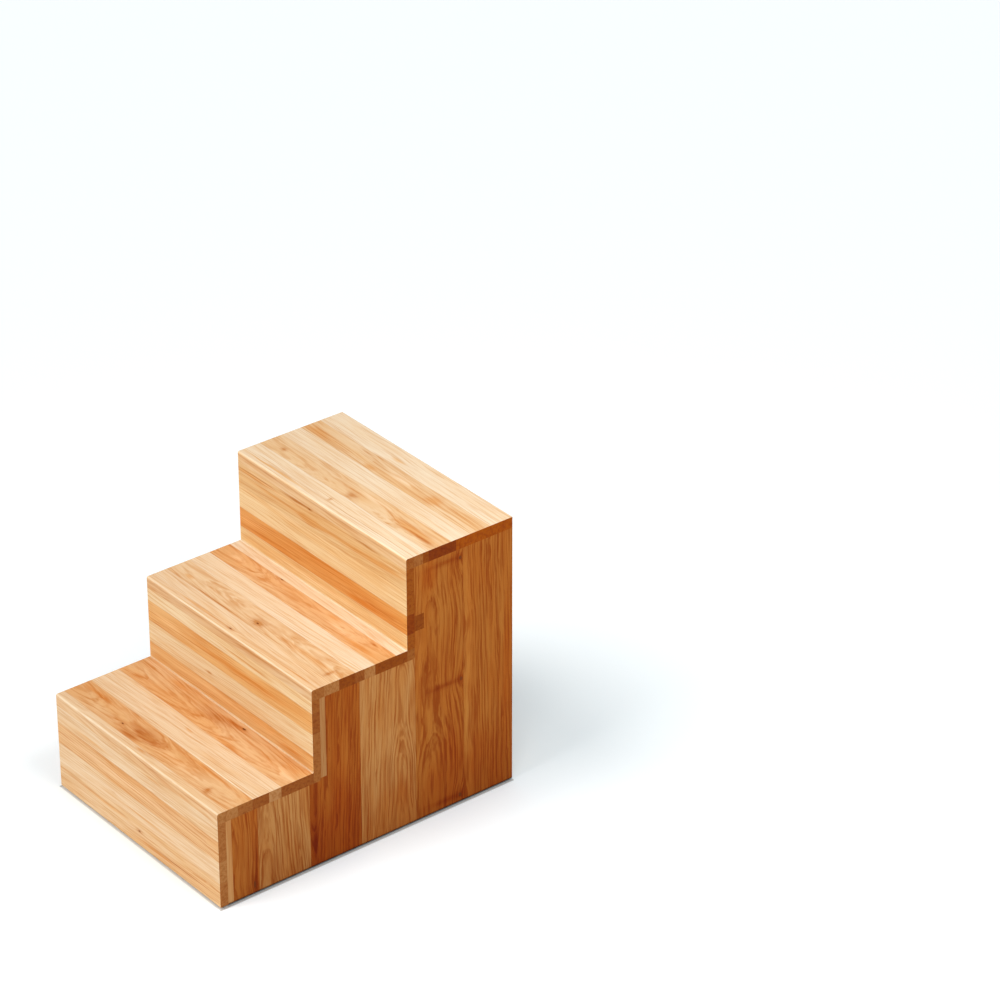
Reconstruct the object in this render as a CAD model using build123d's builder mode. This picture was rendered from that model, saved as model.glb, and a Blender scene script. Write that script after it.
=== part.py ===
from build123d import *

import os

# Three-step timber box steps for a raised spa. Every panel is edge-glued from narrow boards.
# X runs across the steps, Y from the front to the back, Z up. The origin is on the floor, in the
# middle of the footprint. All sizes are in millimetres.

# ---- driving dimensions -------------------------------------------------------------------------
WIDTH = 542.0
RISES = (214.0, 184.0, 202.0)        # floor to bottom tread, then tread to tread
GOINGS = (225.0, 228.0)              # riser face to riser face
TOP_TREAD_DEPTH = 258.0
TREAD_THICKNESS = 24.0
RISER_THICKNESS = 18.0
SIDE_THICKNESS = 18.0

NOSE_RADIUS = 4.0                    # rounded front edge of each tread
HEEL_RADIUS = 6.0                    # lower back corner of a tread that is housed in the side panels
ARRIS_RADIUS = 1.0                   # eased outer corners
FOOT_RADIUS = 3.0                    # eased outer edge along the floor

# Glue lines of the panels. In a tread they are distances back from its nose, in a riser distances
# down from the top of its tread, and in a side panel distances back from the bottom riser's face.
TREAD_GLUE_LINES = (
    (20.0, 82.0, 149.0),
    (18.0, 48.0, 103.0, 151.0, 201.0),
    (19.0, 54.0, 108.0, 155.0, 203.0),
)
RISER_GLUE_LINES = ((63.0, 110.0, 158.0), (52.0, 98.0, 147.0), (74.0, 125.0, 168.0))
EDGE_STRIP = 13.0                    # pale strip behind a riser
RIGHT_GLUE_LINES = (92.0, 214.0, 337.0, 471.0, 589.0)
LEFT_GLUE_LINES = (120.0, 243.0, 360.0, 471.0, 595.0)

CLEAT = 28.0                         # square cleats, and the thickness of every rail
RAIL_HEIGHT = 70.0
BOTTOM_RAIL_LIFT = 15.0              # the back bottom rail clears the floor
BOTTOM_TREAD_RAIL_DROP = 44.0        # how far that rail reaches below the tread's top
CROSS_RAIL_RISE = 36.0               # from the middle tread up to the cross rail
CROSS_RAIL_HEIGHT = 34.0
TENON_THICKNESS = 23.0

SCREW_LENGTH = 40.0
SCREW_RADIUS = 2.0
SCREW_HEAD_RADIUS = 4.0
SCREW_POINT = 6.0
COUNTERSINK_ANGLE = 90.0
DRIVE_WIDTH = 0.9                    # cross recess in the head
DRIVE_DEPTH = 1.6
RISER_SCREWS = (-200.0, 0.0, 200.0)  # places across the steps of the screws from a front cleat into a riser
TREAD_SCREWS = (-100.0, 100.0)       # and of those up into the tread
SIDE_SHARES = (0.2, 0.8)             # along a side cleat, screws into the side panel
UP_SHARES = (0.35, 0.65)             # and screws up into the tread
RAIL_SCREWS = (-180.0, 0.0, 180.0)
RAIL_TREAD_SCREWS = (-90.0, 90.0)    # from the bottom tread's rail into the back edge of the tread
DOWEL_SHARES = (0.25, 0.75)          # up the end of a tall rail
DOWEL_RADIUS = 4.0
DOWEL_LENGTH = 40.0
DOWEL_BITE = 12.0                    # how far a dowel or a screw goes into the far board
BORE_CLEARANCE = 0.15                # room round a screw or a dowel
BORE_END_ROOM = 0.6
TOUCH = 0.01                         # pieces that only meet face to face don't count as reached

# ---- positions that follow from them ------------------------------------------------------------
STEPS = ("bottom", "middle", "top")
TREAD_TOPS = (RISES[0], RISES[0] + RISES[1], sum(RISES))
UNDERSIDES = tuple(top - TREAD_THICKNESS for top in TREAD_TOPS)
DEPTH = sum(GOINGS) + TOP_TREAD_DEPTH
BACK = DEPTH / 2
FRONT = -BACK
RISER_FACES = (FRONT, FRONT + GOINGS[0], FRONT + sum(GOINGS))
RISER_BACKS = tuple(face + RISER_THICKNESS for face in RISER_FACES)
RISER_FEET = (0.0, TREAD_TOPS[0], TREAD_TOPS[1])
TREAD_BACKS = (RISER_BACKS[1], RISER_BACKS[2], BACK)
HALF_WIDTH = WIDTH / 2
INSIDE = HALF_WIDTH - SIDE_THICKNESS
CLEAT_BACKS = (TREAD_BACKS[0], TREAD_BACKS[1], BACK - CLEAT)
CROSS_RAIL_FOOT = TREAD_TOPS[1] + CROSS_RAIL_RISE

# ---- fasteners ----------------------------------------------------------------------------------


def cleat_screw_planes(back, cleat_back, underside):
    """The screws of one tread's front cleat and of its two side cleats."""
    middle = underside - CLEAT / 2
    low = underside - CLEAT
    start = back + CLEAT
    planes = [Plane((x, start, middle), z_dir=(0, 1, 0)) for x in RISER_SCREWS]
    planes += [Plane((x, back + CLEAT / 2, low), z_dir=(0, 0, -1)) for x in TREAD_SCREWS]
    run = cleat_back - start
    for side in (-1, 1):
        inner = side * (INSIDE - CLEAT)
        centre = side * (INSIDE - CLEAT / 2)
        for share in SIDE_SHARES:
            planes.append(Plane((inner, start + run * share, middle), z_dir=(-side, 0, 0)))
        for share in UP_SHARES:
            planes.append(Plane((centre, start + run * share, low), z_dir=(0, 0, -1)))
    return planes


def rail_screw_planes():
    """The screws of the bottom tread's rail, the cross rail and the top tread's back rail."""
    tread_rail_back = TREAD_BACKS[0] + CLEAT
    into_riser = TREAD_TOPS[0] + CLEAT / 2
    into_tread = TREAD_TOPS[0] - TREAD_THICKNESS / 2
    cross_rail_middle = CROSS_RAIL_FOOT + CROSS_RAIL_HEIGHT / 2
    planes = [Plane((x, tread_rail_back, into_riser), z_dir=(0, 1, 0)) for x in RAIL_SCREWS]
    planes += [Plane((x, tread_rail_back, into_tread), z_dir=(0, 1, 0)) for x in RAIL_TREAD_SCREWS]
    planes += [Plane((x, RISER_BACKS[2] + CLEAT, cross_rail_middle), z_dir=(0, 1, 0)) for x in RAIL_SCREWS]
    planes += [Plane((x, BACK - CLEAT / 2, UNDERSIDES[2] - CLEAT), z_dir=(0, 0, -1)) for x in RAIL_SCREWS]
    return planes


def screw_planes():
    """A plane at each screw's head, its normal pointing out of the wood, back towards the driver."""
    planes = rail_screw_planes()
    for back, cleat_back, underside in zip(RISER_BACKS, CLEAT_BACKS, UNDERSIDES):
        planes += cleat_screw_planes(back, cleat_back, underside)
    return planes


def dowel_locations():
    """The middle of each dowel, its Z axis along it: two in each end of a tall rail, one in a square one."""
    reach = INSIDE + DOWEL_BITE - DOWEL_LENGTH / 2
    tread_rail = (TREAD_BACKS[0] + CLEAT / 2, TREAD_TOPS[0] - BOTTOM_TREAD_RAIL_DROP)
    bottom_rail = (BACK - CLEAT / 2, BOTTOM_RAIL_LIFT)
    rails = (tread_rail, bottom_rail)
    places = [(y, foot + RAIL_HEIGHT * share) for y, foot in rails for share in DOWEL_SHARES]
    places.append((BACK - CLEAT / 2, UNDERSIDES[2] - CLEAT / 2))
    return [Location((side * reach, y, z), (0, 90, 0)) for side in (-1, 1) for y, z in places]


SCREW_PLANES = screw_planes()
DOWEL_LOCATIONS = dowel_locations()


def reaches(box, centre, direction, length, radius):
    """True where a straight fastener, given by its middle, direction and size, passes through the box."""
    for low, high, middle, along in zip(box.min, box.max, centre, direction):
        half = abs(along) * length / 2 + (1 - abs(along)) * radius
        if middle + half <= low + TOUCH or middle - half >= high - TOUCH:
            return False
    return True


def bore(piece):
    """Screw and dowel holes wherever one passes through the piece being built."""
    box = piece.part.bounding_box()
    half = SCREW_LENGTH / 2
    screws = [
        plane
        for plane in SCREW_PLANES
        if reaches(box, plane.origin - plane.z_dir * half, plane.z_dir, SCREW_LENGTH, SCREW_RADIUS)
    ]
    if screws:
        with Locations(*screws):
            CounterSinkHole(
                radius=SCREW_RADIUS + BORE_CLEARANCE,
                counter_sink_radius=SCREW_HEAD_RADIUS + BORE_CLEARANCE,
                depth=SCREW_LENGTH + BORE_END_ROOM,
                counter_sink_angle=COUNTERSINK_ANGLE,
            )
    dowels = [
        place
        for place in DOWEL_LOCATIONS
        if reaches(box, place.position, (1, 0, 0), DOWEL_LENGTH, DOWEL_RADIUS)
    ]
    if dowels:
        with Locations(*dowels):
            Cylinder(DOWEL_RADIUS + BORE_CLEARANCE, DOWEL_LENGTH + 2 * BORE_END_ROOM, mode=Mode.SUBTRACT)


def save(piece, name):
    piece.part.label = name
    export_step(piece.part, f"parts/{name}.step")


# ---- treads -------------------------------------------------------------------------------------


def tread_board(name, front, back, underside, nose, heel, covered):
    """One board of a tread. Its grain runs the full width, and its ends show at both sides."""
    with BuildPart() as board:
        with BuildSketch(Plane.XY.offset(underside)):
            with Locations((0, (front + back) / 2)):
                Rectangle(WIDTH, back - front)
        extrude(amount=TREAD_THICKNESS)
        if nose:
            top_edges = board.edges().filter_by(Axis.X).group_by(Axis.Z)[-1]
            fillet(top_edges.sort_by(Axis.Y)[0], NOSE_RADIUS)
        if heel:
            low_edges = board.edges().filter_by(Axis.X).group_by(Axis.Z)[0]
            fillet(low_edges.sort_by(Axis.Y)[-1], HEEL_RADIUS)
        if not covered:
            top = underside + TREAD_THICKNESS
            ends = board.faces().filter_by(Axis.X).edges()
            exposed = [edge for edge in ends if edge.center().Z > top - NOSE_RADIUS]
            if nose:
                uprights = ends.filter_by(Axis.Z)
                exposed += [edge for edge in uprights if edge.center().Y < front + NOSE_RADIUS]
            fillet(exposed, ARRIS_RADIUS)
        bore(board)
    save(board, name)


def tread(index):
    """A tread runs back under the riser above it. The top one ends at the back of the box."""
    front = RISER_FACES[index]
    lines = [front + line for line in TREAD_GLUE_LINES[index]]
    is_top = index == len(STEPS) - 1
    if not is_top:
        lines.append(RISER_FACES[index + 1])
    lines = [front, *lines, TREAD_BACKS[index]]
    for number, (start, end) in enumerate(zip(lines, lines[1:]), start=1):
        is_last = number == len(lines) - 1
        under_riser = is_last and not is_top
        name = f"{STEPS[index]}_tread_board_{number}"
        tread_board(name, start, end, UNDERSIDES[index], number == 1, under_riser, under_riser)


# ---- risers -------------------------------------------------------------------------------------


def riser_board(name, face, low, high):
    """One board of a riser, with its two front corners eased, and its foot where it stands on the floor."""
    with BuildPart() as board:
        with BuildSketch(Plane.XY.offset(low)):
            with Locations((0, face + RISER_THICKNESS / 2)):
                Rectangle(WIDTH, RISER_THICKNESS)
        extrude(amount=high - low)
        corners = board.edges().filter_by(Axis.Z).group_by(Axis.Y)[0]
        fillet(corners, ARRIS_RADIUS)
        if low == 0.0:
            foot_edges = board.edges().group_by(Axis.Z)[0]
            fillet(foot_edges - foot_edges.sort_by(Axis.Y)[-1:], FOOT_RADIUS)
        bore(board)
    save(board, name)


def riser(index):
    """A riser stands on the back of the tread below, or on the floor, and ends under its own tread."""
    top = TREAD_TOPS[index]
    lines = [UNDERSIDES[index], *[top - line for line in RISER_GLUE_LINES[index]], RISER_FEET[index]]
    for number, (high, low) in enumerate(zip(lines, lines[1:]), start=1):
        riser_board(f"{STEPS[index]}_riser_board_{number}", RISER_FACES[index], low, high)


# ---- side panels --------------------------------------------------------------------------------


def side_board(name, side, outline, heel=None):
    """One upright board of a side panel, from its outline in Y and Z. A heel is the point where its edge
    meets the rounded lower back corner of a housed tread."""
    inner_face = INSIDE if side > 0 else -HALF_WIDTH
    with BuildPart() as board:
        with BuildSketch(Plane.YZ.offset(inner_face)):
            with BuildLine():
                Polyline(*outline, close=True)
            make_face()
            if heel:
                with BuildLine():
                    upright = Line(heel, (heel[0], heel[1] + HEEL_RADIUS))
                    rounding = RadiusArc(upright @ 1, (heel[0] - HEEL_RADIUS, heel[1]), HEEL_RADIUS)
                    Line(rounding @ 1, heel)
                make_face()
        extrude(amount=SIDE_THICKNESS)
        with Locations((0, RISER_BACKS[2] + TENON_THICKNESS / 2, CROSS_RAIL_FOOT + CROSS_RAIL_HEIGHT / 2)):
            Box(2 * WIDTH, TENON_THICKNESS, CROSS_RAIL_HEIGHT, mode=Mode.SUBTRACT)
        if outline[0][1] == 0.0:
            foot_edges = board.edges().filter_by(Axis.Y).group_by(Axis.Z)[0].sort_by(Axis.X)
            fillet(foot_edges[-1] if side > 0 else foot_edges[0], FOOT_RADIUS)
        bore(board)
    save(board, name)


def rectangle(start, end, foot, head):
    return [(start, foot), (end, foot), (end, head), (start, head)]


def right_side():
    """Eight boards. The third lies partly under the bottom tread and partly behind it, so it is notched."""
    low, middle, high = UNDERSIDES
    lines = [FRONT + line for line in RIGHT_GLUE_LINES]
    strip = RISER_BACKS[0] + EDGE_STRIP
    upper_strip = RISER_BACKS[1] + EDGE_STRIP
    side_board("right_side_strip_1", 1, rectangle(RISER_BACKS[0], strip, 0.0, low))
    side_board("right_side_board_1", 1, rectangle(strip, lines[0], 0.0, low))
    side_board("right_side_board_2", 1, rectangle(lines[0], lines[1], 0.0, low))
    notch_floor = low + HEEL_RADIUS
    notched = [
        (lines[1], 0.0),
        (lines[2], 0.0),
        (lines[2], middle),
        (upper_strip, middle),
        (upper_strip, notch_floor),
        (RISER_BACKS[1], notch_floor),
        (RISER_BACKS[1], low),
        (lines[1], low),
    ]
    side_board("right_side_board_3", 1, notched, (RISER_BACKS[1], low))
    side_board("right_side_strip_2", 1, rectangle(RISER_BACKS[1], upper_strip, notch_floor, middle))
    heel = (RISER_BACKS[2], middle)
    side_board("right_side_board_4", 1, rectangle(lines[2], lines[3], 0.0, middle), heel)
    side_board("right_side_board_5", 1, rectangle(lines[3], lines[4], 0.0, high))
    side_board("right_side_board_6", 1, rectangle(lines[4], BACK, 0.0, high))


def left_side():
    """Seven boards, with a glue line at the back of each riser, so that none is notched."""
    low, middle, high = UNDERSIDES
    lines = [FRONT + line for line in LEFT_GLUE_LINES]
    strip = RISER_BACKS[0] + EDGE_STRIP
    side_board("left_side_strip", -1, rectangle(RISER_BACKS[0], strip, 0.0, low))
    side_board("left_side_board_1", -1, rectangle(strip, lines[0], 0.0, low))
    side_board("left_side_board_2", -1, rectangle(lines[0], lines[1], 0.0, low), (RISER_BACKS[1], low))
    side_board("left_side_board_3", -1, rectangle(lines[1], lines[2], 0.0, middle))
    heel = (RISER_BACKS[2], middle)
    side_board("left_side_board_4", -1, rectangle(lines[2], lines[3], 0.0, middle), heel)
    side_board("left_side_board_5", -1, rectangle(lines[3], lines[4], 0.0, high))
    side_board("left_side_board_6", -1, rectangle(lines[4], BACK, 0.0, high))


# ---- cleats and rails inside --------------------------------------------------------------------


def batten(name, low, high):
    """A straight cleat or rail between two opposite corners, with its screw and dowel holes."""
    size = [top - bottom for bottom, top in zip(low, high)]
    middle = tuple((top + bottom) / 2 for bottom, top in zip(low, high))
    with BuildPart() as piece:
        with Locations(middle):
            Box(*size)
        bore(piece)
    save(piece, name)


def cleats():
    """Under each tread, one cleat behind the riser and one along each side panel."""
    for step, back, cleat_back, underside in zip(STEPS, RISER_BACKS, CLEAT_BACKS, UNDERSIDES):
        low = underside - CLEAT
        start = back + CLEAT
        batten(f"{step}_tread_front_cleat", (-INSIDE, back, low), (INSIDE, start, underside))
        batten(f"{step}_tread_left_cleat", (-INSIDE, start, low), (CLEAT - INSIDE, cleat_back, underside))
        batten(f"{step}_tread_right_cleat", (INSIDE - CLEAT, start, low), (INSIDE, cleat_back, underside))


def rails():
    """Rails that run from side panel to side panel and stiffen the open back."""
    foot = TREAD_TOPS[0] - BOTTOM_TREAD_RAIL_DROP
    back = TREAD_BACKS[0]
    batten("bottom_tread_back_rail", (-INSIDE, back, foot), (INSIDE, back + CLEAT, foot + RAIL_HEIGHT))
    top = UNDERSIDES[2]
    batten("top_tread_back_rail", (-INSIDE, BACK - CLEAT, top - CLEAT), (INSIDE, BACK, top))
    bottom_rail_top = BOTTOM_RAIL_LIFT + RAIL_HEIGHT
    batten("back_bottom_rail", (-INSIDE, BACK - CLEAT, BOTTOM_RAIL_LIFT), (INSIDE, BACK, bottom_rail_top))


def cross_rail():
    """The rail behind the top riser. Its shouldered tenons go through both side panels and end flush."""
    face = RISER_BACKS[2]
    with BuildPart() as rail:
        with BuildSketch(Plane.XY.offset(CROSS_RAIL_FOOT)):
            with Locations((0, face + CLEAT / 2)):
                Rectangle(2 * INSIDE, CLEAT)
            with Locations((0, face + TENON_THICKNESS / 2)):
                Rectangle(WIDTH, TENON_THICKNESS)
        extrude(amount=CROSS_RAIL_HEIGHT)
        bore(rail)
    save(rail, "upper_cross_rail")


# ---- fastener groups ----------------------------------------------------------------------------


def cleat_screws():
    """All the countersunk screws, one separate solid each, with a cross recess in every head."""
    with BuildPart() as screw:
        with BuildSketch(Plane.XZ):
            with BuildLine():
                Polyline(
                    (0, 0),
                    (SCREW_HEAD_RADIUS, 0),
                    (SCREW_RADIUS, SCREW_RADIUS - SCREW_HEAD_RADIUS),
                    (SCREW_RADIUS, SCREW_POINT - SCREW_LENGTH),
                    (0, -SCREW_LENGTH),
                    close=True,
                )
            make_face()
        revolve(axis=Axis.Z)
        for turn in (0, 90):
            with Locations(Location((0, 0, -DRIVE_DEPTH / 2), (0, 0, turn))):
                Box(SCREW_HEAD_RADIUS, DRIVE_WIDTH, DRIVE_DEPTH, mode=Mode.SUBTRACT)
    with BuildPart() as screws:
        with Locations(*SCREW_PLANES):
            add(screw.part)
    save(screws, "cleat_screws")


def rail_dowels():
    """All the dowels, one separate solid each, with chamfered ends."""
    with BuildPart() as dowels:
        with Locations(*DOWEL_LOCATIONS):
            Cylinder(DOWEL_RADIUS, DOWEL_LENGTH)
        chamfer(dowels.edges().filter_by(GeomType.CIRCLE), DOWEL_RADIUS / 5)
    save(dowels, "rail_dowels")


os.makedirs("parts", exist_ok=True)
for step_index in range(len(STEPS)):
    tread(step_index)
    riser(step_index)
right_side()
left_side()
cleats()
rails()
cross_rail()
cleat_screws()
rail_dowels()
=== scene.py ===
import math
import random

import bpy
from mathutils import Matrix, Vector


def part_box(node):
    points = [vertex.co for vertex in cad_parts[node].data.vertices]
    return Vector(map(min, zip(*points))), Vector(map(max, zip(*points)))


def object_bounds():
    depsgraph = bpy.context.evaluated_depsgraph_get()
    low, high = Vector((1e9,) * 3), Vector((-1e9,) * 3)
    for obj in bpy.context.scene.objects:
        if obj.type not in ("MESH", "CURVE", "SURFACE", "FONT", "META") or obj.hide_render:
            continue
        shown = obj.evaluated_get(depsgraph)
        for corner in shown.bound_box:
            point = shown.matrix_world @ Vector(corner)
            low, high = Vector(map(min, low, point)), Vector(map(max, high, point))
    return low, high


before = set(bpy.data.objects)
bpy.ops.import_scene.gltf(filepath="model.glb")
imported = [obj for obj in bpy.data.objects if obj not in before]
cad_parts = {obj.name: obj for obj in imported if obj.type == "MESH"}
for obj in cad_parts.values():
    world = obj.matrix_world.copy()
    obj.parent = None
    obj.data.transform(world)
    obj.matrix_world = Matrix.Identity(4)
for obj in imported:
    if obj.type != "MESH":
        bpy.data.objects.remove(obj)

# Three-step timber box steps, edge-glued from pine boards with a clear satin finish. The shapes are the CAD nodes;
# this script gives every board its own grain, knots, end grain and finish, and adds the floor, light and camera.

CAD_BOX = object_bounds()
MM = 0.001

# ---- a short way to write shader formulas -------------------------------------------------------


class Wire:
    """The output of a shader node, which takes part in sums so that a shader reads like a formula."""

    def __init__(self, tree, socket):
        self.tree = tree
        self.socket = socket

    def maths(self, operation, *others):
        node = self.tree.nodes.new("ShaderNodeMath")
        node.operation = operation
        for place, value in zip(node.inputs, (self, *others)):
            plug(self.tree, value, place)
        return Wire(self.tree, node.outputs[0])

    def __add__(self, other):
        return self.maths("ADD", other)

    def __sub__(self, other):
        return self.maths("SUBTRACT", other)

    def __mul__(self, other):
        return self.maths("MULTIPLY", other)

    def __truediv__(self, other):
        return self.maths("DIVIDE", other)

    def clamp(self):
        return self.maths("MINIMUM", 1.0).maths("MAXIMUM", 0.0)

    def flipped(self):
        """What is left of 1."""
        return self * -1.0 + 1.0


def plug(tree, value, socket):
    """Puts a wire or a plain value into a node's input."""
    if isinstance(value, Wire):
        tree.links.new(value.socket, socket)
    elif hasattr(value, "__len__") and len(socket.default_value) == 4 and len(value) == 3:
        socket.default_value = (*value, 1.0)
    else:
        socket.default_value = value


def ramp(value, low, high, start=0.0, end=1.0):
    """Smooth step from start to end as value goes from low to high."""
    node = value.tree.nodes.new("ShaderNodeMapRange")
    node.interpolation_type = "SMOOTHSTEP"
    for name, number in (("Value", value), ("From Min", low), ("From Max", high), ("To Min", start), ("To Max", end)):
        plug(value.tree, number, node.inputs[name])
    return Wire(value.tree, node.outputs["Result"])


def vector(tree, x, y, z):
    node = tree.nodes.new("ShaderNodeCombineXYZ")
    for place, value in zip(node.inputs, (x, y, z)):
        plug(tree, value, place)
    return Wire(tree, node.outputs[0])


def split_vector(tree, socket, axes):
    """The vector's parts as wires, in the order of these axes."""
    node = tree.nodes.new("ShaderNodeSeparateXYZ")
    tree.links.new(socket, node.inputs[0])
    return [Wire(tree, node.outputs[axis]) for axis in axes]


def noise(tree, place, detail=2.0, roughness=0.5, distortion=0.0):
    """Smooth noise from about 0.2 to 0.8, one blob to a unit."""
    node = tree.nodes.new("ShaderNodeTexNoise")
    plug(tree, place, node.inputs["Vector"])
    node.inputs["Scale"].default_value = 1.0
    node.inputs["Detail"].default_value = detail
    node.inputs["Roughness"].default_value = roughness
    node.inputs["Distortion"].default_value = distortion
    return Wire(tree, node.outputs["Fac"])


def mix(tree, first, second, share, blend="MIX"):
    node = tree.nodes.new("ShaderNodeMix")
    node.data_type = "RGBA"
    node.blend_type = blend
    colours = [place for place in node.inputs if place.type == "RGBA"]
    plug(tree, first, colours[0])
    plug(tree, second, colours[1])
    plug(tree, share, node.inputs[0])
    return Wire(tree, [place for place in node.outputs if place.type == "RGBA"][0])


def group_inputs(tree, **sockets):
    """Adds the group's inputs and returns them as wires by name."""
    for name, (kind, default) in sockets.items():
        place = tree.interface.new_socket(name=name, in_out="INPUT", socket_type=f"NodeSocket{kind}")
        if default is not None:
            place.default_value = default
    node = tree.nodes.new("NodeGroupInput")
    return {name: Wire(tree, node.outputs[name]) for name in sockets}


def group_outputs(tree, **wires):
    node = tree.nodes.new("NodeGroupOutput")
    for name, wire in wires.items():
        kind = {"RGBA": "Color", "VECTOR": "Vector"}.get(wire.socket.type, "Float")
        tree.interface.new_socket(name=name, in_out="OUTPUT", socket_type=f"NodeSocket{kind}")
        tree.links.new(wire.socket, node.inputs[name])


def use_group(tree, group, **values):
    """Adds a group with these inputs and returns its outputs as wires by name."""
    node = tree.nodes.new("ShaderNodeGroup")
    node.node_tree = group
    for name, value in values.items():
        plug(tree, value, node.inputs[name])
    return {place.name: Wire(tree, place) for place in node.outputs}


def srgb(red, green, blue):
    """A tone given as it looks on a screen, 0 to 255, as the linear colour that shaders use."""
    return tuple(
        value / 255 / 12.92 if value <= 10 else ((value / 255 + 0.055) / 1.055) ** 2.4 for value in (red, green, blue)
    )


# ---- timber -------------------------------------------------------------------------------------

# Tints that the shader lays over a board's own tone.
RICH = (0.96, 0.84, 0.68)
PALE = (1.12, 1.24, 1.45)
# An amber tint for the wood's richer patches; on the side panels it is also laid on as painted shade near the floor.
GLOW_AND_SHADE = (0.93, 0.72, 0.48)
LATE_WOOD = {"light": (0.80, 0.57, 0.36), "dark": (0.66, 0.43, 0.26)}
FIBRE = (0.92, 0.83, 0.70)
SMUDGE = (0.74, 0.49, 0.28)
# Painted highlight, screened over the nose edges and the thin lines in the inner corners.
PAINTED_HIGHLIGHT = (0.95, 0.88, 0.64)
END_BLOTCH = (0.80, 0.68, 0.52)
GLUE = (0.70, 0.50, 0.32)
# Painted shade for the foot of the side panels: a contact shadow line and a darkening towards the floor.
PAINTED_FOOT_SHADE = (0.30, 0.25, 0.22)
KNOT = srgb(112, 54, 20)

# How many blobs of each noise fit in a metre: along the grain, outwards from the pith, and across the board.
FIBRE_SCALE = (16.0, 800.0, 360.0)
LINE_SCALE = (7.0, 300.0, 100.0)
STREAK_SCALE = (2.6, 95.0, 40.0)
BAND_SCALE = (4.0, 36.0, 14.0)


def make_mark_group():
    """A soft oval, 1 at its middle and 0 outside, which curves a little and has a ragged outline."""
    tree = bpy.data.node_groups.new("mark", "ShaderNodeTree")
    put = group_inputs(
        tree,
        Along=("Float", 0.0), Across=("Float", 0.0), Middle_Along=("Float", 0.0), Middle_Across=("Float", 0.0),
        Length=("Float", 0.01), Width=("Float", 0.01), Ragged=("Float", 0.3),
    )
    most_curve = 4.0 * MM
    curve = noise(tree, vector(tree, put["Along"] * 16.0, put["Middle_Across"] * 300.0, 0.0), detail=1.0) - 0.5
    x = (put["Along"] - put["Middle_Along"]) / put["Length"]
    y = (put["Across"] + curve * most_curve - put["Middle_Across"]) / put["Width"]
    blob = noise(tree, vector(tree, x * 1.4, y * 1.4, put["Middle_Along"] * 90.0), detail=2.0) - 0.5
    reach = (x * x + y * y) * (blob * put["Ragged"] * 4.0 + 1.0)
    group_outputs(tree, Mask=(reach * -1.0).maths("EXPONENT").clamp())
    return tree


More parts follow.
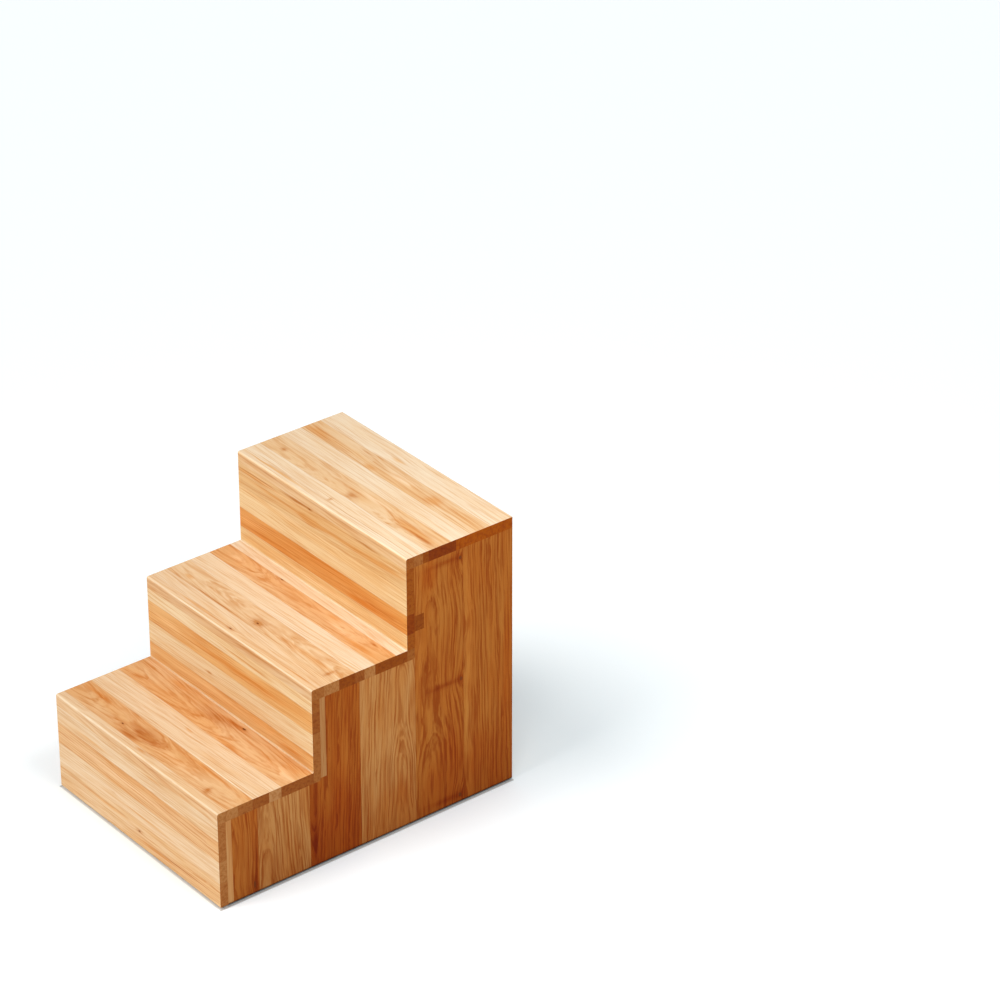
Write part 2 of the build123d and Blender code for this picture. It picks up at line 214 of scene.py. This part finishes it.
def make_timber_group():
    """Rings round a pith line, fibres that follow them, colour bands, knots, end grain and glue lines."""
    tree = bpy.data.node_groups.new("timber", "ShaderNodeTree")
    put = group_inputs(
        tree,
        Along=("Float", 0.0), Across=("Float", 0.0), Deep=("Float", 0.0),
        Pith_Across=("Float", 0.0), Pith_Deep=("Float", -0.08),
        Gap=("Float", 0.005), Lean=("Float", 0.02), Wander=("Float", 0.006), Seed=("Float", 0.0),
        Bend=("Float", 0.0), Knot=("Float", 0.0), Smudge=("Float", 0.0), Glow=("Float", 0.0), Pale=("Float", 0.0),
        End=("Float", 0.0), Joint=("Float", 0.0), Worn=("Float", 0.0), Foot=("Float", 0.0),
        Tone=("Color", (0.8, 0.6, 0.4, 1)), End_Tone=("Color", (0.4, 0.2, 0.08, 1)),
        Late_Tint=("Color", (0.8, 0.6, 0.4, 1)),
        Ring=("Float", 0.3), Fibre=("Float", 0.3),
    )
    along, across, deep = put["Along"], put["Across"], put["Deep"]
    shift = put["Seed"] * 7.31  # sets one board's noise apart from another's

    # Distance from the pith, which wanders along the board.
    sway = noise(tree, vector(tree, along * 3.0, across * 6.0 + shift, deep * 6.0), detail=1.0) - 0.5
    heave = noise(tree, vector(tree, along * 5.0, across * 9.0, deep * 9.0 + shift + 40.0), detail=1.0) - 0.5
    y = across - put["Pith_Across"] + sway * put["Wander"]
    z = deep - put["Pith_Deep"] + heave * put["Wander"] * 3.0
    radius = (y * y + z * z).maths("SQRT") + along * put["Lean"] + put["Bend"]

    # Growth rings: slowly darker, then suddenly pale again, of uneven width and strength.
    wobble = noise(tree, vector(tree, along * 18.0, across * 80.0 + shift, deep * 80.0), detail=2.0) - 0.5
    crowding = noise(tree, vector(tree, radius * 75.0, shift, 0.0), detail=1.0) - 0.5
    turns = radius / put["Gap"] + wobble * 1.3 + crowding * 3.0 + shift
    part = turns.maths("FRACT")
    late = ramp(part, 0.35, 0.85) * ramp(part, 0.88, 1.0, 1.0, 0.0)
    strength = noise(tree, vector(tree, turns.maths("FLOOR") * 0.73, along * 6.0, shift), detail=1.0)
    late = late * ramp(strength, 0.35, 0.62, 0.2, 1.0)

    def grain(scales, shifted_axis, **options):
        """Noise drawn out along the rings, with the board's own shift on one axis."""
        place = [axis * scale for axis, scale in zip((along, radius, across), scales)]
        place[shifted_axis] = place[shifted_axis] + shift
        return noise(tree, vector(tree, *place), detail=2.0, **options)

    # Fibres, fine lines, streaks and bands, each coarser than the one before.
    fibre = grain(FIBRE_SCALE, 2, roughness=0.6)
    lines = grain(LINE_SCALE, 1, roughness=0.6)
    streak = grain(STREAK_SCALE, 0)
    band = grain(BAND_SCALE, 1, distortion=0.4)

    # The board's tone, then the bands, the placed marks, the dark half of each ring and the fibres over it.
    tone = mix(tree, put["Tone"], RICH, ramp(band, 0.38, 0.64) * (put["Ring"] * 1.8).clamp(), "MULTIPLY")
    grained = (streak - 0.5) * 0.6 + (lines - 0.5) * 0.4
    tone = mix(tree, tone, PALE, ramp(put["Pale"] + grained, 0.15, 1.1), "MULTIPLY")
    tone = mix(tree, tone, GLOW_AND_SHADE, ramp(put["Glow"] + grained, 0.15, 1.0), "MULTIPLY")
    dark = late * put["Ring"] + ramp(streak, 0.5, 0.72) * put["Ring"] * 0.2 + ramp(lines, 0.45, 0.65) * put["Fibre"]
    tone = mix(tree, tone, put["Late_Tint"], dark.clamp(), "MULTIPLY")
    tone = mix(tree, tone, FIBRE, ramp(fibre, 0.4, 0.7) * put["Fibre"], "MULTIPLY")
    smudge = put["Smudge"] * ((lines - 0.5) * 1.2 + 1.0)
    tone = mix(tree, tone, SMUDGE, smudge.clamp(), "MULTIPLY")
    tone = mix(tree, tone, KNOT, ramp(put["Knot"], 0.3, 0.65))
    # Painted highlight: the light caught by each nose's rounded edge and by the inner corners.
    tone = mix(tree, tone, PAINTED_HIGHLIGHT, put["Worn"].clamp(), "SCREEN")

    # End grain is blotchy and dark, and glue lines are darker still. The foot of a side panel gets painted shade.
    blotch = noise(tree, vector(tree, along * 30.0, across * 140.0 + shift, deep * 140.0), detail=3.0)
    end_tone = mix(tree, put["End_Tone"], END_BLOTCH, ramp(blotch, 0.4, 0.72), "MULTIPLY")
    end_tone = mix(tree, end_tone, put["Late_Tint"], late * 0.5, "MULTIPLY")
    tone = mix(tree, tone, end_tone, put["End"])
    tone = mix(tree, tone, GLUE, put["Joint"].clamp(), "MULTIPLY")
    tone = mix(tree, tone, PAINTED_FOOT_SHADE, put["Foot"], "MULTIPLY")

    # A satin finish, duller on end grain and smoother on knots. The dark lines and the joints are sunk a little.
    rough = ramp(fibre, 0.25, 0.75, 0.42, 0.55) + put["End"] * 0.12 - ramp(put["Knot"], 0.3, 0.65) * 0.1
    grooves = late * 0.4 + lines * 0.4 + fibre * 0.35 + put["Joint"] * 1.5 - put["End"] * blotch * 0.8
    group_outputs(tree, Tone=tone, Roughness=rough, Height=grooves * -1.0)
    return tree


MARK = make_mark_group()
TIMBER = make_timber_group()

TONES = {
    # name: (its colour, how strong its rings and its fibres are, the gap between its rings in mm)
    "pale": (srgb(229, 207, 178), 0.25, 0.45, 4.6),
    "cream": (srgb(226, 197, 162), 0.38, 0.50, 5.0),
    "honey": (srgb(223, 190, 150), 0.50, 0.55, 5.2),
    "amber": (srgb(221, 177, 129), 0.60, 0.55, 5.6),
    # The middle and top risers have tones of their own, straw to rust, set lighter than the wood alone: painted
    # light, making up for the lamps lighting those risers less.
    "straw": (srgb(235, 207, 166), 0.38, 0.50, 4.8),
    "toffee": (srgb(225, 187, 137), 0.45, 0.50, 5.0),
    "wheat": (srgb(235, 202, 154), 0.40, 0.50, 5.0),
    "gold": (srgb(234, 196, 142), 0.45, 0.50, 5.0),
    "copper": (srgb(229, 178, 117), 0.50, 0.50, 5.2),
    "rust": (srgb(224, 158, 88), 0.50, 0.50, 5.2),
    "side_strip": (srgb(190, 139, 87), 0.35, 0.40, 3.6),
    "side_lath": (srgb(172, 122, 74), 0.35, 0.40, 3.6),
    "side_pale": (srgb(185, 130, 74), 0.80, 0.65, 7.0),
    "side_honey": (srgb(173, 105, 41), 0.80, 0.70, 7.0),
    "side_brown": (srgb(175, 105, 42), 0.85, 0.70, 7.5),
    "side_dark": (srgb(162, 88, 27), 0.85, 0.70, 8.0),
    "inner": (srgb(206, 168, 122), 0.60, 0.50, 5.0),
}
# End-grain tones. The higher steps take the darker, richer ones (burnt, ember, brick, russet): partly the wood's own
# tone, partly painted warm, dim light on the upper ends.
END_TONES = {
    "pale": srgb(178, 125, 76), "tan": srgb(169, 112, 60), "brown": srgb(156, 94, 42), "dark": srgb(145, 79, 28),
    "deep": srgb(136, 66, 8), "burnt": srgb(124, 50, 0), "ember": srgb(156, 74, 0), "russet": srgb(148, 76, 14),
    "brick": srgb(132, 56, 0), "sand": srgb(163, 102, 50), "umber": srgb(151, 86, 32),
}

# The grain runs along one axis: (along, across, deep) as indices of X, Y and Z.
GRAIN_X_FLAT, GRAIN_X_UPRIGHT, GRAIN_Z, GRAIN_Y = (0, 1, 2), (0, 2, 1), (2, 1, 0), (1, 0, 2)


# What each simple kind of mark adds to: the shader's input, how strongly, and how ragged its outline is.
MARKS = {
    "smudge": ("Smudge", 0.95, 0.4),
    "line": ("Smudge", 1.2, 0.5),
    "glow_and_shade": ("Glow", 0.9, 0.3),
    "pale": ("Pale", 0.9, 0.2),
    # A shine is a thin painted highlight line, laid where a tread meets the riser behind it.
    "shine": ("Worn", 0.5, 0.0),
}


def seed_of(name):
    """The same number for the same name in every run."""
    return sum((place + 1) * ord(letter) for place, letter in enumerate(name)) % 997


def new_material(name):
    """An empty material and its node tree."""
    material = bpy.data.materials.new(name)
    material.use_nodes = True
    material.node_tree.nodes.clear()
    return material, material.node_tree


# Details of a board, in metres.
GLUE_LINE = 0.6 * MM  # how far in from each glued edge the board darkens
HIGHLIGHT_EDGE = 1.2 * MM  # how far inside the nose's corner its painted highlight lies
HIGHLIGHT_REACH = (0.5 * MM, 3.0 * MM)  # where that highlight is full, and where it has faded
LIP_DROP, LIP_REACH = 8.5 * MM, 4.0 * MM  # the faint dark line along the front of a nose
FOOT_SHADOW_EDGE = (2.5 * MM, 6.0 * MM)  # the painted contact shadow line at the foot of a side panel
SHADE_HEIGHT = 0.25  # how high the painted shade reaches up the side panels
END_SEAM = 0.4 * MM  # half the width over which one end-grain tone turns into the next


def timber(name, axes, tone, ends=("brown",), marks=(), heart=None, nose=None, shade=None, wander=6.0, gloss=0.06):
    """The material of one board. Marks are (kind, along, across, length, width) in millimetres of the row frame.
    Ends are one end-grain tone, or two and the place across the board where they meet. The heart is where the log's
    pith lies from the board's middle, across and deep in millimetres, and how far it leans along the board. A nose
    says how rich the front edge is and how bright the painted highlight along it, and a shade how strong the painted
    shade is at the foot of a side panel."""
    low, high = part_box(name)
    middle, size = (low + high) / 2, high - low
    luck = random.Random(seed_of(name))
    material, tree = new_material(name)
    spots = tree.nodes.new("ShaderNodeTexCoord")
    place, facing = (split_vector(tree, spots.outputs[key], axes) for key in ("Object", "Normal"))
    along, across, deep = [wire - middle[axis] for wire, axis in zip(place, axes)]
    end_on = ramp(facing[0].maths("ABSOLUTE"), 0.6, 0.8)
    edge_on = ramp(facing[1].maths("ABSOLUTE"), 0.3, 0.7)

    sums = {}

    def add(total, wire):
        sums[total] = sums[total] + wire if total in sums else wire

    def put_mark(total, x, y, length, width, amount=1.0, ragged=0.3):
        oval = use_group(
            tree, MARK,
            Along=place[0], Across=place[1], Middle_Along=x * MM, Middle_Across=y * MM,
            Length=length * MM, Width=width * MM, Ragged=ragged,
        )
        add(total, oval["Mask"] * amount)

    for kind, x, y, length, width in marks:
        if kind == "knot":  # the knot, the darker wood about it, and the rings that bend round it
            put_mark("Knot", x, y, length, width, 1.0, 0.4)
            put_mark("Smudge", x, y, length * 2.6, width * 2.4, 0.8)
            put_mark("Bend", x, y, length * 5.0, width * 5.0, width * 1.6 * MM, 0.0)
        elif kind == "swirl":
            put_mark("Bend", x, y, length, width, 12.0 * MM, 0.0)
        else:
            total, amount, ragged = MARKS[kind]
            put_mark(total, x, y, length, width, amount, ragged)

    half = size[axes[1]] / 2
    joint = ramp(across.maths("ABSOLUTE"), half - GLUE_LINE, half, 0.0, 0.5) * edge_on.flipped()
    if nose:
        rich, bright = nose
        # Along the nose: a painted highlight on its rounded edge, a richer front face and a faint dark line down the
        # front.
        y, z = place[1] - (low[1] + HIGHLIGHT_EDGE), place[2] - (high[2] - HIGHLIGHT_EDGE)
        add("Worn", ramp((y * y + z * z).maths("SQRT"), *HIGHLIGHT_REACH, bright, 0.0))
        add("Glow", edge_on * rich)
        add("Smudge", ramp((place[2] - (high[2] - LIP_DROP)).maths("ABSOLUTE"), 0.0, LIP_REACH, 0.4, 0.0) * edge_on)
    # Painted shade on the side panels: a contact shadow line at the foot and a warmer, darker tint fading out
    # upwards.
    if shade is not None:
        foot_shadow_line = ramp(place[0], *FOOT_SHADOW_EDGE, 1.0, 0.0)
        add("Foot", foot_shadow_line.maths("MAXIMUM", ramp(place[0], 0.0, SHADE_HEIGHT, shade, 0.0)))
        add("Glow", ramp(place[0], 0.0, SHADE_HEIGHT, shade * 2.8, 0.0))
    end_tone = END_TONES[ends[0]]
    if len(ends) == 3:
        seam = ends[2] * MM
        end_tone = mix(tree, end_tone, END_TONES[ends[1]], ramp(place[1], seam - END_SEAM, seam + END_SEAM))

    if heart is None:
        heart = (luck.choice((-1, 1)) * luck.uniform(45, 110), -luck.uniform(15, 50),
                 luck.choice((-1, 1)) * luck.uniform(0.015, 0.04))
    pith_across, pith_deep, lean = heart
    colour, ring, fibre, gap = TONES[tone]
    out = use_group(
        tree, TIMBER,
        Along=along, Across=across, Deep=deep, Pith_Across=pith_across * MM, Pith_Deep=pith_deep * MM,
        Gap=gap * MM, Lean=lean, Wander=wander * MM, Seed=luck.uniform(0, 20), Ring=ring, Fibre=fibre,
        Tone=colour, Late_Tint=LATE_WOOD["dark" if shade else "light"],
        End=end_on, End_Tone=end_tone, Joint=joint, **sums,
    )
    shader = finish(tree, out["Tone"], out["Roughness"], out["Height"], relief=0.25 * MM)
    shader.inputs["Specular IOR Level"].default_value = gloss
    return material


def finish(tree, tone, rough, height, relief):
    """The shader itself, with its bump, whose relief is a depth in metres."""
    shader = tree.nodes.new("ShaderNodeBsdfPrincipled")
    output = tree.nodes.new("ShaderNodeOutputMaterial")
    bump = tree.nodes.new("ShaderNodeBump")
    bump.inputs["Strength"].default_value = 0.55
    bump.inputs["Distance"].default_value = relief
    plug(tree, height, bump.inputs["Height"])
    plug(tree, tone, shader.inputs["Base Color"])
    plug(tree, rough, shader.inputs["Roughness"])
    tree.links.new(bump.outputs[0], shader.inputs["Normal"])
    tree.links.new(shader.outputs[0], output.inputs["Surface"])
    return shader


def dress(name, material):
    """Puts a material on a CAD node."""
    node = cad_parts[name]
    if not node.material_slots:
        node.data.materials.append(None)
    for slot in node.material_slots:
        slot.link = "OBJECT"
        slot.material = material


# ---- which board is which -----------------------------------------------------------------------

LEFT, FRONT = (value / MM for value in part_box("bottom_tread_board_1")[0][:2])
STEPS = ("bottom", "middle", "top")
TREAD_FRONTS = {step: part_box(f"{step}_tread_board_1")[0][1] / MM for step in STEPS}
TREAD_TOPS = {step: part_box(f"{step}_tread_board_1")[1][2] / MM for step in STEPS}

# How rich the front of each nose is, and how bright the painted highlight along its edge.
NOSES = {"bottom": (0.45, 0.32), "middle": (0.5, 0.36), "top": (0.75, 0.22)}
# How strong the painted shade is near the floor on the side panels. The strips behind the risers get only its foot
# line.
SIDE_SHADE = 0.2

# Each board of a tread, from the nose back: its tone, its end-grain tones, its marks, and for some its heart. Marks
# are measured from the left end and back from the nose, and so is the place where two end-grain tones meet.
TREADS = {
    "bottom": (
        ("cream", ("tan",), (("glow_and_shade", 270, 15, 16, 3),)),
        ("amber", ("tan", "brown", 48), (
            ("knot", 170, 42, 4, 1.6), ("smudge", 210, 28, 30, 9), ("smudge", 244, 56, 36, 16),
            ("smudge", 466, 30, 9, 6), ("smudge", 462, 38, 5, 6), ("glow_and_shade", 60, 66, 60, 5), ("glow_and_shade", 430, 74, 110, 5),
            ("smudge", 232, 47, 30, 7), ("pale", 340, 45, 110, 14)), (6, -26, 0.06)),
        ("cream", ("dark", "pale", 120), (("glow_and_shade", 270, 128, 16, 3), ("shine", 420, 84, 120, 1.5))),
        ("amber", ("dark",), (
            ("knot", 335, 213, 6, 2.4), ("glow_and_shade", 300, 208, 60, 7), ("smudge", 312, 211, 26, 3),
            ("glow_and_shade", 350, 156, 60, 8), ("glow_and_shade", 122, 207, 42, 8), ("smudge", 272, 196, 44, 12),
            ("pale", 20, 212, 60, 5), ("pale", 510, 180, 60, 12), ("shine", 271, 224.4, 500, 1.6)), (-12, -24, 0.06)),
        ("honey", ("brown",), ()),
    ),
    "middle": (
        ("cream", ("brown",), (
            ("knot", 263, 14, 4, 1.4), ("glow_and_shade", 150, 14, 110, 3.5), ("glow_and_shade", 480, 13, 60, 4))),
        ("cream", ("brown", "tan", 30), ()),
        ("honey", ("tan", "deep", 65), (
            ("line", 165, 51, 110, 1.6), ("glow_and_shade", 52, 66, 18, 7), ("knot", 281, 66, 4, 2),
            ("smudge", 281, 70, 18, 13), ("smudge", 513, 66, 5, 16), ("glow_and_shade", 450, 70, 110, 10)), (10, -22, -0.05)),
        ("pale", ("dark", "tan", 125), ()),
        ("amber", ("deep",), (
            ("knot", 177, 200, 5, 2), ("smudge", 484, 192, 9, 3), ("glow_and_shade", 355, 192, 28, 6),
            ("pale", 60, 180, 40, 8), ("glow_and_shade", 470, 165, 70, 8), ("pale", 400, 175, 50, 8)), (8, -24, 0.05)),
        ("pale", ("deep",), (("shine", 271, 227.4, 500, 1.6),)),
        ("honey", ("umber",), ()),
    ),
    "top": (
        ("pale", ("umber",), (("line", 400, 18.4, 160, 0.8), ("glow_and_shade", 110, 13, 120, 3.5))),
        ("pale", ("brown", "deep", 40), (("smudge", 268, 27, 4, 5),)),
        ("honey", ("burnt",), (
            ("smudge", 52, 75, 8, 6), ("smudge", 282, 68, 12, 9), ("smudge", 515, 71, 30, 5),
            ("glow_and_shade", 470, 78, 80, 14), ("pale", 330, 92, 70, 6)), (-14, -26, 0.04)),
        ("pale", ("burnt", "ember", 120), ()),
        ("honey", ("ember",), (
            ("glow_and_shade", 40, 172, 52, 14), ("glow_and_shade", 215, 163, 24, 9), ("glow_and_shade", 398, 178, 26, 18),
            ("smudge", 168, 195, 16, 2), ("pale", 300, 180, 50, 14))),
        ("pale", ("ember",), (("glow_and_shade", 228, 222, 26, 5),)),
    ),
}

# Each board of a riser, from the top down: its tone, its end-grain tone, and its marks, measured from the left end
# and down from the tread's top.
RISERS = {
    "bottom": (
        ("cream", ("sand",), (("glow_and_shade", 325, 32, 36, 4), ("glow_and_shade", 120, 50, 70, 4))),
        ("amber", ("sand",), (("pale", 200, 88, 200, 12),)),
        ("cream", ("tan",), (("glow_and_shade", 300, 140, 90, 3),)),
        ("honey", ("sand",), (
            ("knot", 275, 178, 4, 1.6), ("line", 420, 192, 120, 1.0), ("glow_and_shade", 160, 172, 120, 5),
            ("glow_and_shade", 330, 196, 90, 5))),
    ),
    "middle": (
        ("straw", ("umber",), (("glow_and_shade", 330, 40, 90, 4),)),
        ("copper", ("dark",), (("pale", 60, 75, 60, 8), ("glow_and_shade", 300, 74, 220, 8))),
        ("straw", ("brown",), (("smudge", 205, 123, 9, 3),)),
        ("copper", ("brown",), (
            ("glow_and_shade", 470, 167, 44, 6), ("pale", 271, 160, 280, 14), ("shine", 271, 183, 500, 2))),
    ),
    "top": (
        ("toffee", ("russet",), (
            ("line", 198, 27, 40, 2.8), ("knot", 236, 27.5, 3, 1.2), ("line", 424, 27, 36, 2.4),
            ("glow_and_shade", 40, 36, 90, 6), ("line", 60, 34, 70, 1.0), ("glow_and_shade", 120, 50, 100, 5), ("glow_and_shade", 237, 55, 42, 10),
            ("glow_and_shade", 350, 52, 110, 8), ("glow_and_shade", 480, 48, 60, 7), ("pale", 150, 37, 60, 4))),
        ("wheat", ("russet",), ()),
        ("rust", ("brick",), (("glow_and_shade", 400, 160, 60, 8), ("pale", 30, 145, 60, 10))),
        ("gold", ("russet",), (("pale", 250, 185, 200, 8), ("shine", 271, 201, 500, 2))),
    ),
}

# Each board of the side panels: its tone, its heart, and its marks, measured up from the floor and back from the
# front.
# The glow marks low down on boards 4, 5 and 6 are painted shade, darker towards the floor.
SIDES = {
    "right_side_strip_1": ("side_strip", (40, -30, 0.01), ()),
    "right_side_board_1": ("side_brown", (-30, -22, 0.06), (("smudge", 60, 86, 60, 4), ("knot", 20, 80, 9, 3))),
    "right_side_board_2": ("side_pale", (-40, -16, 0.04), (("line", 95, 134, 110, 1.0),)),
    "right_side_board_3": ("side_dark", (-52, -14, -0.05), (
        ("glow_and_shade", 60, 290, 140, 30), ("smudge", 60, 226, 110, 9), ("pale", 230, 300, 120, 20))),
    "right_side_strip_2": ("side_lath", (40, -30, 0.01), ()),
    "right_side_board_4": ("side_pale", (34, -16, 0.055), (("glow_and_shade", 10, 420, 90, 50),)),
    "right_side_board_5": ("side_honey", (-20, -34, 0.02), (
        ("pale", 300, 483, 320, 9), ("smudge", 559, 548, 7, 42), ("knot", 557, 583, 5, 4),
        ("smudge", 285, 548, 7, 42), ("knot", 285, 583, 5, 4), ("smudge", 18, 545, 7, 42), ("knot", 17, 580, 5, 4),
        ("swirl", 557, 592, 70, 46), ("swirl", 285, 592, 80, 52), ("swirl", 17, 592, 70, 46),
        ("glow_and_shade", 60, 550, 150, 44), ("glow_and_shade", 540, 505, 40, 24), ("smudge", 300, 591, 420, 4))),
    "right_side_board_6": ("side_honey", (-75, -45, 0.015), (
        ("pale", 450, 601, 260, 12), ("pale", 150, 604, 200, 12), ("glow_and_shade", 330, 700, 260, 14),
        ("glow_and_shade", 20, 650, 120, 60))),
    "left_side_strip": ("side_strip", (40, -30, 0.01), ()),
    "left_side_board_1": ("side_honey", (20, -26, 0.04), ()),
    "left_side_board_2": ("side_pale", (-24, -20, 0.05), (("knot", 120, 190, 6, 4),)),
    "left_side_board_3": ("side_dark", (45, -16, -0.05), ()),
    "left_side_board_4": ("side_honey", (-10, -26, 0.03), (("knot", 210, 430, 7, 5),)),
    "left_side_board_5": ("side_pale", (30, -18, 0.05), ()),
    "left_side_board_6": ("side_honey", (-30, -20, -0.04), (("knot", 450, 650, 6, 4),)),
}


def shifted(marks, step_x, step_y, sign=1):
    """Marks moved from a board's own measures to the row frame."""
    return [(kind, step_x + x, step_y + sign * y, length, width) for kind, x, y, length, width in marks]


def shifted_ends(ends, step_y):
    """The same for the place where two end-grain tones meet."""
    return (*ends[:2], step_y + ends[2]) if len(ends) == 3 else ends


for step in STEPS:
    front, top = TREAD_FRONTS[step], TREAD_TOPS[step]
    for number, (tone, ends, marks, *heart) in enumerate(TREADS[step], start=1):
        name = f"{step}_tread_board_{number}"
        marks = shifted(marks, LEFT, front)
        nose = NOSES[step] if number == 1 else None
        heart = heart[0] if heart else None
        dress(name, timber(name, GRAIN_X_FLAT, tone, shifted_ends(ends, front), marks, heart, nose=nose))
    for number, (tone, ends, marks) in enumerate(RISERS[step], start=1):
        name = f"{step}_riser_board_{number}"
        dress(name, timber(name, GRAIN_X_UPRIGHT, tone, ends, shifted(marks, LEFT, top, -1)))
for name, (tone, heart, marks) in SIDES.items():
    marks = shifted(marks, 0.0, FRONT)
    shade = 0.0 if "strip" in name else SIDE_SHADE
    dress(name, timber(name, GRAIN_Z, tone, ("brown",), marks, heart, shade=shade, wander=10.0, gloss=0.03))
for step in STEPS:
    name = f"{step}_tread_front_cleat"
    dress(name, timber(name, GRAIN_X_FLAT, "inner"))
    for side in ("left", "right"):
        name = f"{step}_tread_{side}_cleat"
        dress(name, timber(name, GRAIN_Y, "inner"))
for name in ("bottom_tread_back_rail", "top_tread_back_rail", "back_bottom_rail"):
    dress(name, timber(name, GRAIN_X_UPRIGHT, "inner"))
dress("upper_cross_rail", timber("upper_cross_rail", GRAIN_X_UPRIGHT, "inner", ("deep",)))


def steel():
    """Brushed stainless steel of the screws."""
    material, tree = new_material("screw_steel")
    spots = tree.nodes.new("ShaderNodeTexCoord")
    x, y, z = split_vector(tree, spots.outputs["Object"], (0, 1, 2))
    brushed = noise(tree, vector(tree, x * 400.0, y * 2200.0, z * 2200.0), detail=3.0)
    tone = mix(tree, srgb(176, 176, 174), srgb(214, 214, 212), ramp(brushed, 0.3, 0.7))
    shader = finish(tree, tone, ramp(brushed, 0.3, 0.7, 0.24, 0.42), brushed, relief=0.05 * MM)
    shader.inputs["Metallic"].default_value = 1.0
    return material


dress("cleat_screws", steel())
dress("rail_dowels", timber("rail_dowels", GRAIN_X_FLAT, "honey", ("tan",)))

# ---- floor, light and camera --------------------------------------------------------------------


def floor():
    """A plain pale floor, just below the feet, with a thin painted contact shadow where they meet it."""
    mesh = bpy.data.meshes.new("floor")
    reach, depth = 30.0, -3.0 * MM
    corners = [(-reach, -reach, depth), (reach, -reach, depth), (reach, reach, depth), (-reach, reach, depth)]
    mesh.from_pydata(corners, [], [(0, 1, 2, 3)])
    material = bpy.data.materials.new("floor")
    material.use_nodes = True
    tree = material.node_tree
    shader = tree.nodes["Principled BSDF"]
    spots = tree.nodes.new("ShaderNodeTexCoord")
    x, y = split_vector(tree, spots.outputs["Object"], (0, 1))
    right, back = CAD_BOX[1][:2]
    beside, before = x.maths("ABSOLUTE") - right, y.maths("ABSOLUTE") - back
    strength = ramp(beside, -1.0 * MM, 0.0, 0.4, 0.75)  # the painted shadow is stronger along the sides than along the front
    painted_contact_shadow = ramp(beside, 0.0, 7.0 * MM, 1.0, 0.0) * ramp(before, 0.0, 5.0 * MM, 1.0, 0.0) * strength
    # The floor darkens to the painted contact shadow around the footprint, and its faint light of its own fades out
    # there.
    plug(tree, mix(tree, (0.99, 0.99, 0.99), (0.24, 0.2, 0.16), painted_contact_shadow), shader.inputs["Base Color"])
    shader.inputs["Roughness"].default_value = 0.9
    shader.inputs["Specular IOR Level"].default_value = 0.0
    # A faint cool light of its own balances the warm light that the timber throws on it.
    shader.inputs["Emission Color"].default_value = (0.45, 0.87, 1.0, 1)
    clear = painted_contact_shadow.flipped()
    plug(tree, clear * clear * clear * 0.12, shader.inputs["Emission Strength"])
    mesh.materials.append(material)
    plane = bpy.data.objects.new("floor", mesh)
    bpy.context.scene.collection.objects.link(plane)


def lamp(name, kind, strength, colour, towards, place=(0.0, 0.0, 0.0)):
    """A light at a place, shining from the direction given."""
    light = bpy.data.lights.new(name, kind)
    light.energy = strength
    light.color = colour
    holder = bpy.data.objects.new(name, light)
    bpy.context.scene.collection.objects.link(holder)
    holder.location = place
    holder.rotation_mode = "QUATERNION"
    holder.rotation_quaternion = Vector(towards).to_track_quat("Z", "Y")
    return light


def studio():
    """A pale surround, a wide soft key light from the front left and a soft panel above the right-hand side."""
    world = bpy.data.worlds.new("studio")
    bpy.context.scene.world = world
    world.use_nodes = True
    tree = world.node_tree
    spots = tree.nodes.new("ShaderNodeTexCoord")
    height = split_vector(tree, spots.outputs["Generated"], (2,))[0]
    horizon = ramp(height, 0.13, 0.18, 0.42, 0.0)  # brighter low down, so that the backdrop meets the floor white
    plug(tree, ramp(height, 0.1, 0.4, 0.6, 0.46) + horizon, tree.nodes["Background"].inputs["Strength"])
    tree.nodes["Background"].inputs["Color"].default_value = (0.95, 0.975, 1.0, 1)
    key = lamp("key", "SUN", strength=1.8, colour=(1.0, 0.98, 0.95), towards=(-0.22, -0.6, 0.77))
    key.angle = math.radians(40.0)
    panel = lamp(
        "panel", "AREA", strength=14.0, colour=(0.95, 0.98, 1.0), towards=(0.45, -0.03, 0.9), place=(0.95, -0.05, 1.8)
    )
    panel.shape = "DISK"
    panel.size = 0.9
    settings = bpy.context.scene.view_settings
    settings.view_transform = "Standard"
    settings.look = "None"
    settings.exposure = 0.0


def camera():
    """Looks down on the front right-hand corner from about eight metres, through a long lens."""
    azimuth, elevation, distance = math.radians(51.08), math.radians(29.73), 8.23
    target = Vector((0.0, 0.0445, 0.3))
    across, upwards = 0.3883, 0.285  # how far the camera stands to the right of the target and above it
    level = Vector((math.sin(azimuth), -math.cos(azimuth), 0.0))
    back = level * math.cos(elevation) + Vector((0.0, 0.0, math.sin(elevation)))
    right = Vector((math.cos(azimuth), math.sin(azimuth), 0.0))
    up = back.cross(right)
    lens = bpy.data.cameras.new("camera")
    lens.sensor_width = 36.0
    lens.lens = 151.5
    lens.clip_start = 0.1
    lens.clip_end = 100.0
    holder = bpy.data.objects.new("camera", lens)
    bpy.context.scene.collection.objects.link(holder)
    turn = Matrix((right, up, back)).transposed().to_4x4()
    holder.matrix_world = Matrix.Translation(target + back * distance + right * across + up * upwards) @ turn
    bpy.context.scene.camera = holder


floor()
studio()
camera()
